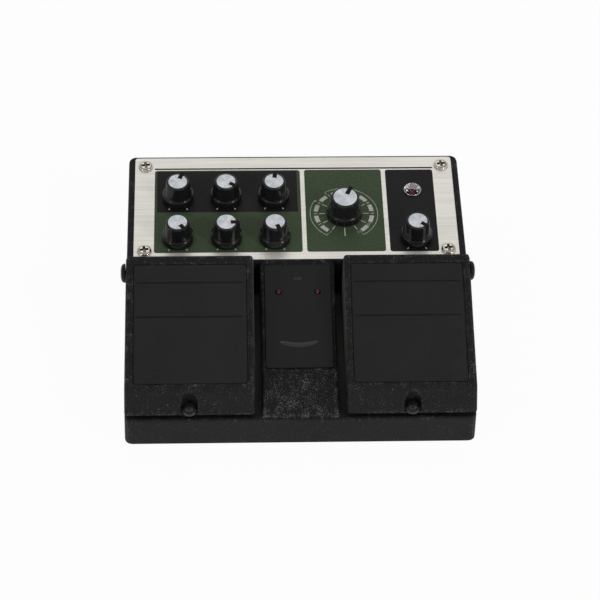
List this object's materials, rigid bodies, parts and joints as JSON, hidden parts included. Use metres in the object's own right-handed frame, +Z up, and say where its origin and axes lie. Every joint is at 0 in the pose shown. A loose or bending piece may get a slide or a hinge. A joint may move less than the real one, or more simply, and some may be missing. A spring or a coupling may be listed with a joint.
{
  "type": "guitar effects pedal",
  "caption": "Twin-treadle guitar effects pedal with a sloped rear control panel of turning knobs, padded treadles over battery bays, a lit centre cover and jacks behind.",
  "frame": {"origin": "on the ground under the middle of the pedal's overall length and width", "axes": "+X to the right seen from the player, +Y to the rear where the jacks are, +Z up"},
  "size_m": [0.1766, 0.158, 0.0569],
  "materials": {
    "cast": "die-cast, with a black crinkle coat",
    "rubber": "matt black rubber",
    "sheet": "brushed sheet with printed panels",
    "steel": "plain zinc-plated steel",
    "bolt": "black gloss-plated steel",
    "chrome": "polished",
    "knob": "smooth gloss black",
    "cap": "turned face",
    "cover": "satin black cover",
    "lens": "clear tinted",
    "led": "dark red, unlit",
    "board": "green circuit board",
    "plastic": "moulded black",
    "brass": "turned"
  },
  "bodies": {
    "chassis": {"chassis": "cast", "bottom_cover": "steel", "rubber_base": "rubber", "control_plate": "sheet", "centre_cover": "cover", "power_lens": "lens", "status_led_left": "led", "status_led_right": "led", "peak_led_cup": "chrome", "peak_led": "led", "panel_board": "board", "main_board": "board", "dc_inlet": "plastic", "plate_screw_front_left": "chrome", "plate_screw_front_right": "chrome", "plate_screw_rear_left": "chrome", "plate_screw_rear_right": "chrome", "output_jack_left": "plastic", "output_jack_right": "plastic", "control_jack": "plastic", "input_jack_left": "plastic", "input_jack_right": "plastic", "press_spring_left": "steel", "press_spring_right": "steel", "foot_switch_left": "plastic", "foot_switch_right": "plastic"},
    "hinge_left": {"hinge_pin_left": "bolt"},
    "treadle_left": {"treadle_left": "cast", "tread_pad_left": "rubber"},
    "thumbscrew_left": {"thumbscrew_left": "bolt"},
    "plunger_left": {"switch_plunger_left": "plastic"},
    "hinge_right": {"hinge_pin_right": "bolt"},
    "treadle_right": {"treadle_right": "cast", "tread_pad_right": "rubber"},
    "thumbscrew_right": {"thumbscrew_right": "bolt"},
    "plunger_right": {"switch_plunger_right": "plastic"},
    "knob_upper_left": {"knob_upper_left": "knob", "cap_upper_left": "cap", "shaft_upper_left": "brass"},
    "knob_upper_middle": {"knob_upper_middle": "knob", "cap_upper_middle": "cap", "shaft_upper_middle": "brass"},
    "knob_upper_right": {"knob_upper_right": "knob", "cap_upper_right": "cap", "shaft_upper_right": "brass"},
    "knob_lower_left": {"knob_lower_left": "knob", "cap_lower_left": "cap", "shaft_lower_left": "brass"},
    "knob_lower_middle": {"knob_lower_middle": "knob", "cap_lower_middle": "cap", "shaft_lower_middle": "brass"},
    "knob_lower_right": {"knob_lower_right": "knob", "cap_lower_right": "cap", "shaft_lower_right": "brass"},
    "knob_input": {"knob_input": "knob", "cap_input": "cap", "shaft_input": "brass"},
    "knob_mode": {"knob_mode": "knob", "cap_mode": "cap", "shaft_mode": "brass"}
  },
  "joints": [
    {"name": "open_left", "type": "hinge", "parent": "chassis", "child": "hinge_left", "pos_m": [-0.0544, -0.0074, 0.048], "axis": [1, 0, 0], "range_deg": [-60, 0]},
    {"name": "press_left", "type": "hinge", "parent": "hinge_left", "child": "treadle_left", "pos_m": [-0.0544, -0.0074, 0.048], "axis": [1, 0, 0], "range_deg": [0, 1.8], "stiffness_Nm_per_rad": 8, "springref_deg": -4.58, "deforming": ["press_spring_left"]},
    {"name": "unscrew_left", "type": "slide", "parent": "treadle_left", "child": "thumbscrew_left", "axis": [0, 0, 1], "range_m": [0, 0.006]},
    {"name": "switch_left", "type": "slide", "parent": "chassis", "child": "plunger_left", "axis": [0, 0, -1], "range_m": [0, 0.0019]},
    {"name": "open_right", "type": "hinge", "parent": "chassis", "child": "hinge_right", "pos_m": [0.0544, -0.0074, 0.048], "axis": [1, 0, 0], "range_deg": [-60, 0]},
    {"name": "press_right", "type": "hinge", "parent": "hinge_right", "child": "treadle_right", "pos_m": [0.0544, -0.0074, 0.048], "axis": [1, 0, 0], "range_deg": [0, 1.8], "stiffness_Nm_per_rad": 8, "springref_deg": -4.58, "deforming": ["press_spring_right"]},
    {"name": "unscrew_right", "type": "slide", "parent": "treadle_right", "child": "thumbscrew_right", "axis": [0, 0, 1], "range_m": [0, 0.006]},
    {"name": "switch_right", "type": "slide", "parent": "chassis", "child": "plunger_right", "axis": [0, 0, -1], "range_m": [0, 0.0019]},
    {"name": "turn_upper_left", "type": "hinge", "parent": "chassis", "child": "knob_upper_left", "pos_m": [-0.0601, 0.04745, 0.04975], "axis": [0, -0.0228, 0.9997], "range_deg": [-127, 173]},
    {"name": "turn_upper_middle", "type": "hinge", "parent": "chassis", "child": "knob_upper_middle", "pos_m": [-0.0355, 0.04745, 0.04975], "axis": [0, -0.0228, 0.9997], "range_deg": [-27, 273]},
    {"name": "turn_upper_right", "type": "hinge", "parent": "chassis", "child": "knob_upper_right", "pos_m": [-0.0109, 0.04745, 0.04975], "axis": [0, -0.0228, 0.9997], "range_deg": [-143, 157]},
    {"name": "turn_lower_left", "type": "hinge", "parent": "chassis", "child": "knob_lower_left", "pos_m": [-0.0601, 0.01976, 0.04912], "axis": [0, -0.0228, 0.9997], "range_deg": [-7, 293]},
    {"name": "turn_lower_middle", "type": "hinge", "parent": "chassis", "child": "knob_lower_middle", "pos_m": [-0.0355, 0.01976, 0.04912], "axis": [0, -0.0228, 0.9997], "range_deg": [-57, 243]},
    {"name": "turn_lower_right", "type": "hinge", "parent": "chassis", "child": "knob_lower_right", "pos_m": [-0.0109, 0.01976, 0.04912], "axis": [0, -0.0228, 0.9997], "range_deg": [0, 300]},
    {"name": "turn_input", "type": "hinge", "parent": "chassis", "child": "knob_input", "pos_m": [0.0611, 0.01976, 0.04912], "axis": [0, -0.0228, 0.9997], "range_deg": [-21, 279]},
    {"name": "turn_mode", "type": "hinge", "parent": "chassis", "child": "knob_mode", "pos_m": [0.0251, 0.03605, 0.04949], "axis": [0, -0.0228, 0.9997], "range_deg": [-125, 205]}
  ],
  "couplings": [
    {"joint": "switch_left", "follows": "press_left", "m_per_rad": 0.0541},
    {"joint": "switch_right", "follows": "press_right", "m_per_rad": 0.0541}
  ]
}
